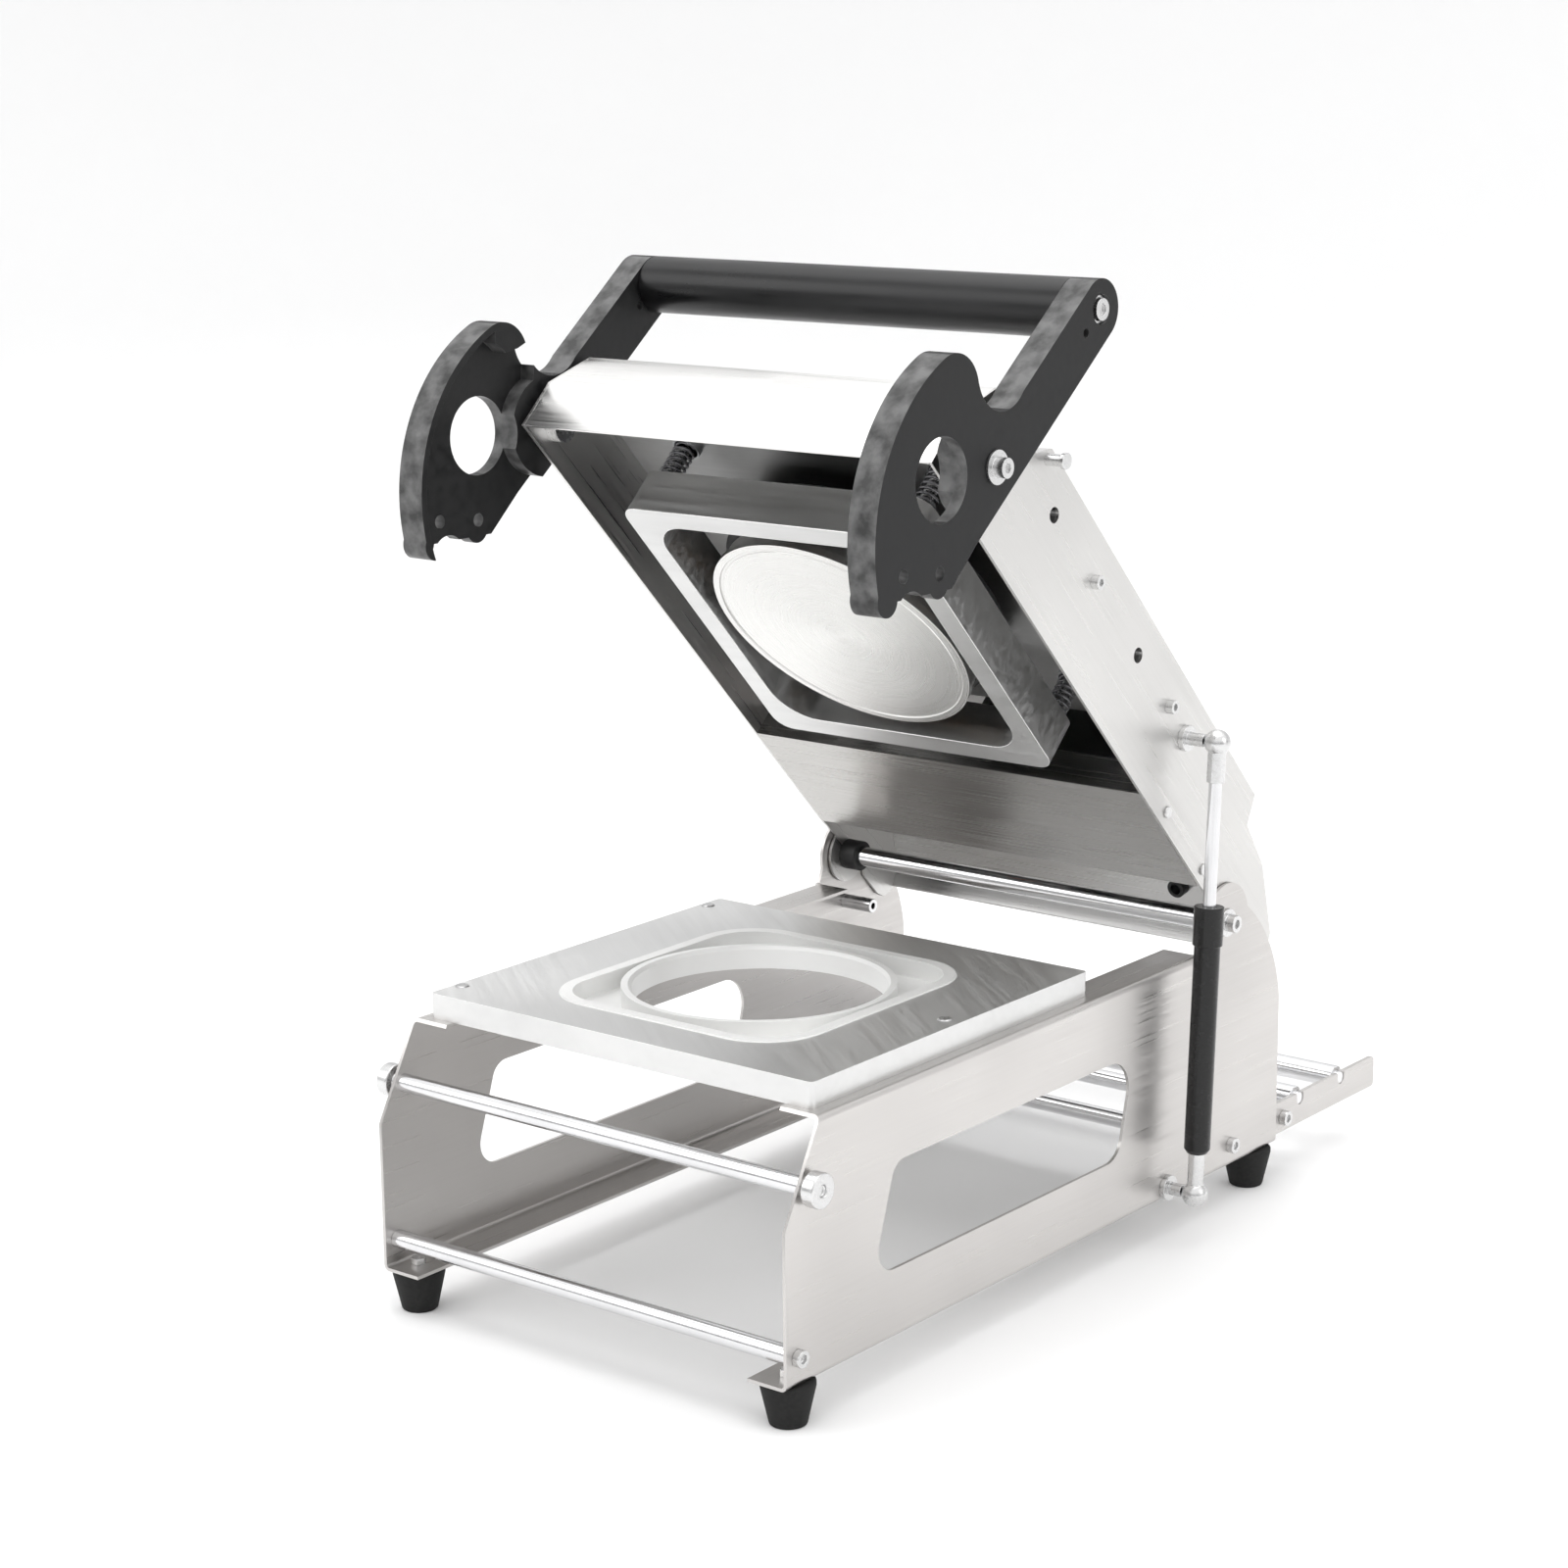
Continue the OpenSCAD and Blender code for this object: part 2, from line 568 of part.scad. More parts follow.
module terminal_block() color([0.85, 0.85, 0.8]) placed() on_head() translate([-20, -118, 0.5])
    difference() {
        cube([60, 20, 16]);
        for (i = [0:4]) translate([6 + 12 * i, 10, 8]) cylinder(r = 3, h = 10);
    }
module thermostat_knob() color([0.05, 0.05, 0.05]) placed() on_head()
    translate([dial_x, -panel_u, head_h + 1 + gap]) difference() {
        union() {
            cylinder(r = 19, h = 4);
            translate([0, 0, 3]) cylinder(r = 14, h = 14);
            translate([0, 0, -24]) cylinder(r = 4.2, h = 25);
        }
        translate([-1, 5, 16]) cube([2, 12, 2]);
        for (a = [0:45:315]) rotate(a + 22.5) translate([15.8, 0, 5]) cylinder(r = 3, h = 14);
    }
module power_rocker() color([0.1, 0.1, 0.1]) placed() on_head()
    translate([switch_x, -panel_u, head_h - 2.5]) rotate([8, 0, 0])
        plate_at(-8, 16) difference() {
            union() {
                polygon([[-11, 1], [11, 1], [11, 4.2], [0, 2.6], [-11, 4.2]]);
                circle(3);
            }
        }

// ---------- press ----------

module clamp_frame() color([0.78, 0.78, 0.77]) placed() at_press(-clamp_drop) difference() {
    linear_extrude(clamp_h) rounded_box(clamp_w / 2, clamp_l / 2, clamp_r);
    translate([0, 0, -1]) linear_extrude(clamp_h + 2)
        rounded_box(clamp_w / 2 - clamp_bar, clamp_l / 2 - clamp_bar, clamp_hole_r);
    at_posts() translate([0, 0, 2.3]) cylinder(r = post_r + run, h = clamp_h);
}
// guide pins fixed in the spring cups; the clamp frame slides up and down on them
module clamp_guides() color([0.7, 0.7, 0.7]) placed() at_press(0) at_posts()
    translate([0, 0, post_foot]) cylinder(r = post_r, h = cup_top - post_foot);

module platen() color([0.86, 0.86, 0.84]) placed() at_press(platen_v) difference() {
    union() {
        cylinder(r = platen_r, h = 5);
        translate([0, 0, 5]) cylinder(r = platen_r - 1.5, h = platen_t - 5);
    }
    translate([0, 0, -1]) difference() {
        cylinder(r = platen_r - 4.5, h = 1.8);
        translate([0, 0, -1]) cylinder(r = platen_r - 6.5, h = 5);
    }
    translate(probe_at + [0, 0, 4]) cylinder(r = 2.5, h = 20);
}
module heater_element() color([0.45, 0.35, 0.25]) placed() at_press(heater_v) difference() {
    cylinder(r = platen_r - 6, h = heater_t);
    translate(probe_at - [0, 0, 1]) cylinder(r = 2.5, h = 20);
}
module insulator() color([0.07, 0.07, 0.07]) placed() at_press(insul_v) difference() {
    union() {
        cylinder(r = insul_r - 1.5, h = 3);
        translate([0, 0, 3]) cylinder(r = insul_r, h = insul_top - insul_v - 3);
    }
    translate([0, 0, well_v - insul_v]) cylinder(r = well_r, h = 30);
    translate([0, 0, 3]) cylinder(r = spindle_r, h = 30);
    translate(probe_at - [0, 0, 1]) cylinder(r = 2.5, h = 40);
}
module platen_spindle() color([0.75, 0.75, 0.75]) placed() at_press(0) {
    translate([0, 0, insul_v + 3]) cylinder(r = spindle_r, h = platen_cup_top - insul_v - 2);
    translate([0, 0, platen_cup_top + 0.3]) cylinder(r = 14, h = 3, $fn = 6);
}
module temperature_probe() color([0.7, 0.7, 0.72]) placed() at_press(0) translate(probe_at) {
    translate([0, 0, platen_v + 4]) cylinder(r = 2.5, h = insul_top - platen_v - 4);
    translate([0, 0, insul_top]) cylinder(r = 4, h = 7);
}

// ---------- cam levers and handle ----------

module lever_outline() {
    difference() {
        union() {
            intersection() {
                translate(rim_at) circle(r = rim_r, $fn = 128);
                polygon([[-130, -60], [-130, 90], [-46, 90], [-46, 50], [-20, 46], [-10, 46],
                    [26, 38], [26, 0], [-40, -60]]);
            }
            translate(hook_at) circle(hook_r);
            translate([-96.5, -59]) circle(8.6);
            translate([-51.6, -55.2]) circle(8.8);
            rotate(lever_tilt) {
                translate([-70, -lever_back]) square([arm_l + 70, 34]);
                translate([arm_l, -lever_back + 17]) circle(17);
            }
        }
        translate(throat_at) circle(throat_r);
        translate([-76, -69.5]) circle(13);
        translate(hole_at) circle(hole_r);
        circle(bore_r + run + 0.01);
        translate([-82.6, -47.8]) circle(4);
        translate([-50.6, -50.6]) circle(4);
        rotate(lever_tilt) {
            translate([arm_l, -lever_back + 17]) circle(4);
            translate([arm_l - 19, -lever_back + 17]) circle(2.6);
        }
    }
}
// the inner face is relieved behind the rim lip, so that the latch stud can run in under it
module cam_relief() {
    difference() {
        intersection() {
            translate(rim_at) circle(r = rim_r - lip_w, $fn = 128);
            polygon([[-130, -95], [-130, 80], [-10, 80], [-10, 40], [-12, 20], [0, -36],
                [20, -95]]);
        }
        circle(hub_r);
        polygon([[-44, 80], [-42, 52], [-34, 46], [-24, 47.5], [-10, 53], [-10, 80]]);
    }
}
module cam_lever() difference() {
    plate_at(lever_x0, lever_t) lever_outline();
    plate_at(lever_x0 - 1, cam_depth + 1) cam_relief();
    rod_x(lever_x1 - 3.5, lever_x1 + 1, handle_at, 8.4);
}
handle_at = [arm_l * cos(lever_tilt) + 3 * sin(lever_tilt), arm_l * sin(lever_tilt) - 3 * cos(lever_tilt)];
module cam_lever_right() color([0.15, 0.15, 0.15]) placed() on_lever() cam_lever();
module cam_lever_left() color([0.15, 0.15, 0.15]) placed() on_lever() mirror([1, 0, 0]) cam_lever();
module handle_bar() color([0.1, 0.1, 0.1]) placed() on_lever() difference() {
    rod_x(-lever_x0, lever_x0, handle_at, handle_r);
    rod_x(-lever_x0 - 1, -lever_x0 + 22, handle_at, 4);
    rod_x(lever_x0 - 22, lever_x0 + 1, handle_at, 4);
}
module handle_screws() color([0.75, 0.75, 0.75]) placed() on_lever() both_sides() {
    rod_x(lever_x1 - 3.5, lever_x1 - 2, handle_at, 8.2);
    cap_screw(handle_at, lever_x1 - 2, 6.3, 3.2, 4, lever_t + 18);
}

// ---------- gas spring ----------

module lower_ball_stud() color([0.8, 0.8, 0.8]) placed() {
    rod_x(xo, gas_x - 8 - gap, gas_low, 4);
    rod_x(xo, xo + 3.5, gas_low, 8);
}
module gas_tube() color([0.05, 0.05, 0.05]) placed() on_gas() difference() {
    union() {
        translate([0, 0, 26]) cylinder(r1 = tube_r - 2, r2 = tube_r, h = 3);
        translate([0, 0, 29]) cylinder(r = tube_r, h = 127);
        translate([0, 0, 156]) cylinder(r = tube_r + 1.2, h = 24);
    }
    translate([0, 0, 32]) cylinder(r = tube_r - 1.5, h = 138);
    cylinder(r = gas_rod_r + run, h = 400);
}
module gas_lower_socket() color([0.75, 0.75, 0.75]) placed() on_gas() {
    sphere(8);
    cylinder(r = 5, h = 26);
    translate([0, 0, 26]) cylinder(r = gas_rod_r, h = 5);
}
module gas_rod() color([0.85, 0.85, 0.86]) placed() on_gas() {
    translate([0, 0, gas_len - gas_rod_seen - 85]) cylinder(r = gas_rod_r, h = 85 + gas_rod_seen - 6);
    translate([0, 0, gas_len - gas_rod_seen - 85]) cylinder(r = tube_r - 1.6, h = 10);
}
gas_rod_seen = 95;
module gas_upper_socket() color([0.75, 0.75, 0.75]) placed() on_gas() translate([0, 0, gas_len]) difference() {
    union() {
        sphere(8);
        translate([0, 0, -24]) cylinder(r = 5.5, h = 22);
    }
    translate([0, 0, -30]) cylinder(r = gas_rod_r, h = 24);
}

side_plate_left();
side_plate_right();
tool_plate();
bowl_insert();
tool_plate_pins();
upper_front_rod();
latch_studs();
lower_front_rod();
lower_rear_rod();
rod_screws();
hinge_shaft();
hinge_screws();
stop_studs();
rubber_feet();
foot_screws();
roll_arm_left();
roll_arm_right();
roll_arm_rod();
roll_arm_screws();
lower_ball_stud();
film_roller_front();
film_roller_rear();
front_hood();
top_cover();
rear_hood();
head_side_left();
head_side_right();
rear_cover();
rear_cover_screws();
carrier_plate();
carrier_screws();
hinge_bushes();
lever_stop_pins();
lever_pivots();
upper_ball_stud();
spring_cups();
thermostat_body();
dial_plate();
indicator_lamp();
switch_housing();
cable_gland();
terminal_block();
clamp_frame();
clamp_guides();
clamp_springs();
platen();
heater_element();
insulator();
platen_spindle();
platen_spring();
temperature_probe();
cam_lever_left();
cam_lever_right();
handle_bar();
handle_screws();
gas_tube();
gas_lower_socket();
gas_rod();
gas_upper_socket();
thermostat_knob();
power_rocker();
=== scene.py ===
import json
import math

import bpy
from mathutils import Matrix, Vector


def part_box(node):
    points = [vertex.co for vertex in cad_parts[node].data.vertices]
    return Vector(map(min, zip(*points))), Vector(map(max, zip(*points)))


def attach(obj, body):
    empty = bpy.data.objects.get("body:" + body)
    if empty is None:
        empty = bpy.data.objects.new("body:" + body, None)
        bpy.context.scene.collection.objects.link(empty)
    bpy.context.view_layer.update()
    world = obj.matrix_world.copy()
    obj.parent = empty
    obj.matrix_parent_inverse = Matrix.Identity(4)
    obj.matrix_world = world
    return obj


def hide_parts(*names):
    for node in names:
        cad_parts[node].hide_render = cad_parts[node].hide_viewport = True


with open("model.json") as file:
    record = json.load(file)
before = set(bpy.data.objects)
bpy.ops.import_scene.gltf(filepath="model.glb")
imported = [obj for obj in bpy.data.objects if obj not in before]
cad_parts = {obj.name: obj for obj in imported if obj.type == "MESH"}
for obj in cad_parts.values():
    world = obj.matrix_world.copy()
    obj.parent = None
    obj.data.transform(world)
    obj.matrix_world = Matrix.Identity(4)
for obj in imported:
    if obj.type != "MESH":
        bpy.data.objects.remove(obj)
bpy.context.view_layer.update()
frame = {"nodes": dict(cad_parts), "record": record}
bpy.ops.object.select_all(action="DESELECT")

# ---------------------------------------------------------------- studio
# A pale sweep: the floor runs back and curves up into a wall, so that no horizon shows behind the
# machine. It is painted matte, with a faint mottle so that it isn't one dead flat tone.

sweep_size = 16.0
sweep_rise = 7.0
sweep_bend = 3.0
far_side = sweep_size * 0.4

bpy.ops.mesh.primitive_plane_add(size=sweep_size, location=(0, 0, 0))
sweep = bpy.context.object
sweep.name = "studio_sweep"
bpy.ops.object.mode_set(mode="EDIT")
bpy.ops.mesh.select_all(action="DESELECT")
bpy.ops.mesh.select_mode(type="EDGE")
bpy.ops.object.mode_set(mode="OBJECT")
for edge in sweep.data.edges:
    middle = sum((sweep.data.vertices[v].co for v in edge.vertices), Vector()) / 2
    edge.select = middle.y > far_side or middle.x < -far_side
bpy.ops.object.mode_set(mode="EDIT")
bpy.ops.mesh.extrude_region_move(TRANSFORM_OT_translate={"value": (0, 0, sweep_rise)})
bpy.ops.object.mode_set(mode="OBJECT")
sweep_round = sweep.modifiers.new("round", "BEVEL")
sweep_round.width = sweep_bend
sweep_round.segments = 24
sweep_round.limit_method = "ANGLE"
bpy.ops.object.modifier_apply(modifier="round")
bpy.ops.object.shade_smooth_by_angle(angle=math.radians(60))

sweep_paint = bpy.data.materials.new("studio_paint")
sweep_paint.use_nodes = True
nodes, links = sweep_paint.node_tree.nodes, sweep_paint.node_tree.links
shader = nodes["Principled BSDF"]
shader.inputs["Roughness"].default_value = 0.9
mottle = nodes.new("ShaderNodeTexNoise")
mottle.inputs["Scale"].default_value = 0.7
tones = nodes.new("ShaderNodeValToRGB")
tones.color_ramp.elements[0].color = (0.93, 0.93, 0.93, 1)
tones.color_ramp.elements[1].color = (0.96, 0.96, 0.96, 1)
links.new(nodes.new("ShaderNodeTexCoord").outputs["Object"], mottle.inputs["Vector"])
links.new(mottle.outputs["Fac"], tones.inputs["Fac"])
links.new(tones.outputs["Color"], shader.inputs["Base Color"])
sweep.data.materials.append(sweep_paint)

# ---------------------------------------------------------------- light
# A soft white room whose walls darken towards the floor, with one wide softbox overhead, one at the
# front left and a weaker one at the right, so that the sheet metal shades from light to mid grey.

room = bpy.data.worlds.new("soft_room")
bpy.context.scene.world = room
room.use_nodes = True
nodes, links = room.node_tree.nodes, room.node_tree.links
sky = nodes["Background"]
sky.inputs["Strength"].default_value = 1.2
where = nodes.new("ShaderNodeTexCoord")
split = nodes.new("ShaderNodeSeparateXYZ")
sky_tones = nodes.new("ShaderNodeValToRGB")
sky_tones.color_ramp.elements[0].position = 0.50
sky_tones.color_ramp.elements[0].color = (0.22, 0.22, 0.225, 1)
sky_tones.color_ramp.elements[1].position = 0.70
sky_tones.color_ramp.elements[1].color = (1.0, 1.0, 1.0, 1)
shift = nodes.new("ShaderNodeMapRange")
shift.inputs["From Min"].default_value = -1.0
links.new(where.outputs["Generated"], split.inputs["Vector"])
links.new(split.outputs["Z"], shift.inputs["Value"])
links.new(shift.outputs["Result"], sky_tones.inputs["Fac"])
links.new(sky_tones.outputs["Color"], sky.inputs["Color"])


def softbox(name, place, aim, width, height, power):
    """A rectangular soft light at place that faces aim."""
    bpy.ops.object.light_add(type="AREA", location=place)
    lamp = bpy.context.object
    lamp.name = name
    lamp.data.shape = "RECTANGLE"
    lamp.data.size = width
    lamp.data.size_y = height
    lamp.data.energy = power
    lamp.rotation_euler = (Vector(aim) - Vector(place)).to_track_quat("-Z", "Y").to_euler()


softbox("overhead_softbox", (-0.2, 0.1, 2.6), (0, 0, 0.2), 2.6, 2.6, 26)
softbox("front_softbox", (-1.9, -2.2, 1.8), (0, 0, 0.3), 1.6, 1.6, 15)
softbox("right_softbox", (2.6, 0.4, 1.2), (0, 0, 0.3), 1.2, 1.8, 8)

# ---------------------------------------------------------------- camera
# A long lens a little above the tool plate, on the right of the machine's front, turned by half a
# degree about its own axis.

eye = Vector((1.200676, -1.635129, 0.746555))
heading = 0.673
dip = 0.227
roll = -0.010
lens_mm = 77.9
film_mm = 36.0
sight = Vector((-math.sin(heading) * math.cos(dip),
                math.cos(heading) * math.cos(dip),
                -math.sin(dip)))
level = Vector((math.cos(heading), math.sin(heading), 0))
rise = level.cross(sight)
across = math.cos(roll) * level + math.sin(roll) * rise
upward = math.cos(roll) * rise - math.sin(roll) * level

bpy.ops.object.camera_add(location=eye)
camera = bpy.context.object
camera.data.lens = lens_mm
camera.data.sensor_width = film_mm
turn = Matrix((across, upward, -sight)).transposed().to_4x4()
camera.matrix_world = Matrix.Translation(eye) @ turn
bpy.context.scene.camera = camera
bpy.context.scene.view_settings.view_transform = "Standard"

# ---------------------------------------------------------------- side plates
# Two stainless sheets 2 mm thick, folded inwards along the top and the bottom, with a long window.
# The sheet is brushed along its length and the cut edges are deburred.

sheet_edge = 0.0003
weld_gap = 0.00001
flat_angle = 0.6
sheet_tone = (0.60, 0.582, 0.568)


def new_finish(name, metal, rough):
    """An empty finish, and its shader."""
    finish = bpy.data.materials.new(name)
    finish.use_nodes = True
    skin = finish.node_tree.nodes["Principled BSDF"]
    skin.inputs["Metallic"].default_value = metal
    skin.inputs["Roughness"].default_value = rough
    return finish, skin


def noise_on(finish, stretch, size, turned=(0, 0, 0), detail=4.0):
    """Noise over the surface, squeezed by stretch along each axis once turned."""
    nodes, links = finish.node_tree.nodes, finish.node_tree.links
    place = nodes.new("ShaderNodeTexCoord")
    lay = nodes.new("ShaderNodeMapping")
    lay.inputs["Rotation"].default_value = turned
    squeeze = nodes.new("ShaderNodeMapping")
    squeeze.inputs["Scale"].default_value = stretch
    noise = nodes.new("ShaderNodeTexNoise")
    noise.inputs["Scale"].default_value = size
    noise.inputs["Detail"].default_value = detail
    links.new(place.outputs["Object"], lay.inputs["Vector"])
    links.new(lay.outputs["Vector"], squeeze.inputs["Vector"])
    links.new(squeeze.outputs["Vector"], noise.inputs["Vector"])
    return noise.outputs["Fac"]


def two_tones(finish, fac, dark, light, low=0.35, high=0.65):
    """The colour of the surface, from dark to light as fac rises."""
    nodes, links = finish.node_tree.nodes, finish.node_tree.links
    ramp = nodes.new("ShaderNodeValToRGB")
    ramp.color_ramp.elements[0].position = low
    ramp.color_ramp.elements[1].position = high
    ramp.color_ramp.elements[0].color = (*dark, 1)
    ramp.color_ramp.elements[1].color = (*light, 1)
    links.new(fac, ramp.inputs["Fac"])
    links.new(ramp.outputs["Color"], nodes["Principled BSDF"].inputs["Base Color"])


def rough_from(finish, fac, low, high):
    """The roughness of the surface, from low to high as fac rises."""
    nodes, links = finish.node_tree.nodes, finish.node_tree.links
    spread = nodes.new("ShaderNodeMapRange")
    spread.inputs["From Min"].default_value = 0.3
    spread.inputs["From Max"].default_value = 0.7
    spread.inputs["To Min"].default_value = low
    spread.inputs["To Max"].default_value = high
    links.new(fac, spread.inputs["Value"])
    links.new(spread.outputs["Result"], nodes["Principled BSDF"].inputs["Roughness"])


def bump_from(finish, fac, strength, depth):
    """Fine relief on the surface."""
    nodes, links = finish.node_tree.nodes, finish.node_tree.links
    relief = nodes.new("ShaderNodeBump")
    relief.inputs["Strength"].default_value = strength
    relief.inputs["Distance"].default_value = depth
    links.new(fac, relief.inputs["Height"])
    links.new(relief.outputs["Normal"], nodes["Principled BSDF"].inputs["Normal"])


def brushed(name, tone, rough, grain, turned=(0, 0, 0), spread=0.08, relief=0.12):
    """Brushed sheet: a hair-fine grain that is long along one axis, and faint handling marks."""
    finish, skin = new_finish(name, 1.0, rough)
    skin.inputs["Anisotropic"].default_value = 0.45
    hair = noise_on(finish, grain, 1.0, turned)
    marks = noise_on(finish, (6, 6, 6), 1.0, detail=2.0)
    dark = [c * 0.93 for c in tone]
    light = [min(1.0, c * 1.05) for c in tone]
    two_tones(finish, marks, dark, light)
    rough_from(finish, hair, rough - spread, rough + spread)
    bump_from(finish, hair, relief, 0.0002)
    return finish


def eased(node, edge, finishes, segments=2, sharp=35.0, smooth=40.0, rim=False):
    """The real piece in place of its CAD solid: merged, with its edges eased, on the same body.
    With rim, the second finish goes on the eased edges."""
    bpy.ops.object.select_all(action="DESELECT")
    piece = bpy.data.objects.new(node + "_piece", frame["nodes"][node].data.copy())
    bpy.context.collection.objects.link(piece)
    bpy.context.view_layer.objects.active = piece
    piece.select_set(True)
    piece.data.materials.clear()
    for finish in finishes:
        piece.data.materials.append(finish)
    bpy.ops.object.mode_set(mode="EDIT")
    bpy.ops.mesh.select_all(action="SELECT")
    bpy.ops.mesh.remove_doubles(threshold=weld_gap)
    bpy.ops.mesh.dissolve_limited(angle_limit=math.radians(flat_angle))
    bpy.ops.object.mode_set(mode="OBJECT")
    if edge:
        ease = piece.modifiers.new("ease", "BEVEL")
        ease.width = edge
        ease.segments = segments
        ease.limit_method = "ANGLE"
        ease.angle_limit = math.radians(sharp)
        ease.use_clamp_overlap = True
        if rim:
            ease.material = 1
        bpy.ops.object.modifier_apply(modifier="ease")
    bpy.ops.object.shade_smooth_by_angle(angle=math.radians(smooth))
    even = piece.modifiers.new("even", "WEIGHTED_NORMAL")
    even.keep_sharp = True
    bpy.ops.object.modifier_apply(modifier="even")
    body = next(b for b, parts in frame["record"]["behaviour"]["bodies"].items() if node in parts)
    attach(piece, body)
    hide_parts(node)
    return piece


plate_sheet = brushed("plate_sheet", sheet_tone, 0.34, (700, 9, 700))
edge_sheet = brushed("cut_edge", (0.60, 0.59, 0.58), 0.34, (700, 60, 700))
for side in ("left", "right"):
    eased(f"side_plate_{side}", sheet_edge, (plate_sheet, edge_sheet), rim=True)

# ---------------------------------------------------------------- tool plate
# A solid aluminium plate that carries the tray insert. It is milled flat, with its edges chamfered
# bright, and held by three pins whose heads stand just proud.

plate_metal = brushed("milled_aluminium", (0.70, 0.70, 0.695), 0.36, (14, 260, 260),
                      turned=(0, 0, math.radians(38)), spread=0.07)
bright_edge = brushed("chamfer_aluminium", (0.86, 0.86, 0.855), 0.22, (200, 200, 200))
pin_metal = brushed("pin_steel", (0.5, 0.5, 0.5), 0.3, (400, 400, 400))
eased("tool_plate", 0.0009, (plate_metal, bright_edge), rim=True)
eased("tool_plate_pins", 0.0002, (pin_metal,))

# ---------------------------------------------------------------- bowl insert
# The pale satin insert in the tool plate: a rounded square pocket with a round collar in it, over
# which a bowl's rim hangs. Its edges are well rounded.

insert_pale = brushed("pale_insert", (0.86, 0.86, 0.85), 0.42, (180, 180, 180),
                      spread=0.05, relief=0.05)
insert_pale.node_tree.nodes["Principled BSDF"].inputs["Metallic"].default_value = 0.35
eased("bowl_insert", 0.0012, (insert_pale,), segments=3)

# ---------------------------------------------------------------- cross rods
# Ground and polished steel rods tie the side plates. They have fine rings from turning and their
# ends are tapped for the screws.


def polished(name, tone, rough, rings=(900, 4, 4)):
    """Polished round bar: faint rings round the X axis and a thin film of handling marks."""
    finish, skin = new_finish(name, 1.0, rough)
    lines = noise_on(finish, rings, 1.0)
    marks = noise_on(finish, (25, 25, 25), 1.0)
    two_tones(finish, marks, [c * 0.92 for c in tone], tone)
    rough_from(finish, lines, rough - 0.05, rough + 0.08)
    bump_from(finish, lines, 0.05, 0.0001)
    return finish


rod_steel = polished("polished_rod_steel", (0.76, 0.76, 0.77), 0.15)
for rod in ("upper_front_rod", "lower_front_rod", "lower_rear_rod", "roll_arm_rod", "hinge_shaft"):
    eased(rod, 0.0004, (rod_steel,))
eased("stop_studs", 0.0004, (rod_steel,))

# ---------------------------------------------------------------- latch studs and screws
# Turned stainless buttons and socket screws: bright faces with rounded rims and dark sockets.

screw_steel = polished("screw_steel", (0.70, 0.70, 0.70), 0.24, (300, 300, 300))
eased("latch_studs", 0.0009, (screw_steel,), segments=3)
for screws in ("rod_screws", "hinge_screws", "roll_arm_screws", "carrier_screws",
               "rear_cover_screws", "foot_screws", "lever_stop_pins", "handle_screws"):
    eased(screws, 0.0004, (screw_steel,))

# ---------------------------------------------------------------- feet
# Black rubber feet, moulded as short cones with a soft rim, with fine dusty grit over them.

foot_rubber, skin = new_finish("foot_rubber", 0.0, 0.72)
grit = noise_on(foot_rubber, (420, 420, 420), 1.0)
two_tones(foot_rubber, grit, (0.006, 0.006, 0.006), (0.018, 0.018, 0.0175))
skin.inputs["Specular IOR Level"].default_value = 0.3
rough_from(foot_rubber, grit, 0.6, 0.85)
bump_from(foot_rubber, grit, 0.15, 0.0003)
eased("rubber_feet", 0.0011, (foot_rubber,), segments=3)

# ---------------------------------------------------------------- film roll cradle
# Two thin folded arms behind the base, with two bright rollers that turn in open slots. The arms
# are the same brushed sheet as the side plates.

for side in ("left", "right"):
    eased(f"roll_arm_{side}", sheet_edge, (plate_sheet, edge_sheet), rim=True)
roller_steel = polished("roller_steel", (0.82, 0.82, 0.83), 0.11)
for roller in ("front", "rear"):
    eased(f"film_roller_{roller}", 0.0005, (roller_steel,))

# ---------------------------------------------------------------- head housing
# A folded stainless hood between two side sheets, tilted open about the hinge shaft. The hood is
# brushed across the machine and very bright; the side sheets are brushed along the head.

joints = {joint["name"]: joint for joint in frame["record"]["behaviour"]["joints"]}
head_up = Vector(joints["clamp_slide"]["axis"])
head_tilt = math.atan2(head_up.y, head_up.z)
hinge = Vector(joints["head_hinge"]["pos_m"])
head_turned = (head_tilt, 0, 0)

hood_sheet = brushed("hood_sheet", (0.80, 0.795, 0.785), 0.32, (9, 600, 600), head_turned)
wing_sheet = brushed("wing_sheet", (0.66, 0.652, 0.64), 0.33, (600, 9, 600), head_turned)
for panel in ("front_hood", "top_cover", "rear_hood"):
    eased(panel, 0.0003, (hood_sheet,))
for side in ("left", "right"):
    eased(f"head_side_{side}", sheet_edge, (wing_sheet, edge_sheet), rim=True)
cover_steel = brushed("cover_steel", (0.50, 0.49, 0.475), 0.24, (9, 600, 600), head_turned)
eased("rear_cover", sheet_edge, (cover_steel,))

# ---------------------------------------------------------------- inside the head
# A thick aluminium carrier plate holds the spring cups, with the black hinge bushes at the back. It
# sits in the hood's shadow, and its tone is painted darker than the other aluminium as painted
# shade.

# The carrier's aluminium is painted dark grey here: painted shade for the hood's shadow.
carrier_metal_painted_shade = brushed("carrier_metal_painted_shade", (0.42, 0.42, 0.42), 0.42, (12, 300, 300), head_turned)
cup_zinc = brushed("cup_zinc", (0.45, 0.46, 0.47), 0.4, (300, 300, 300))
eased("carrier_plate", 0.0006, (carrier_metal_painted_shade,))
eased("spring_cups", 0.0003, (cup_zinc,))
dark_plastic, _ = new_finish("dark_plastic", 0.0, 0.5)
grain = noise_on(dark_plastic, (900, 900, 900), 1.0)
two_tones(dark_plastic, grain, (0.010, 0.010, 0.010), (0.020, 0.020, 0.0205))
rough_from(dark_plastic, grain, 0.4, 0.6)
bump_from(dark_plastic, grain, 0.1, 0.0001)
eased("hinge_bushes", 0.0005, (dark_plastic,))
eased("lever_pivots", 0.0005, (screw_steel,))
eased("upper_ball_stud", 0.0004, (screw_steel,))
eased("lower_ball_stud", 0.0004, (screw_steel,))

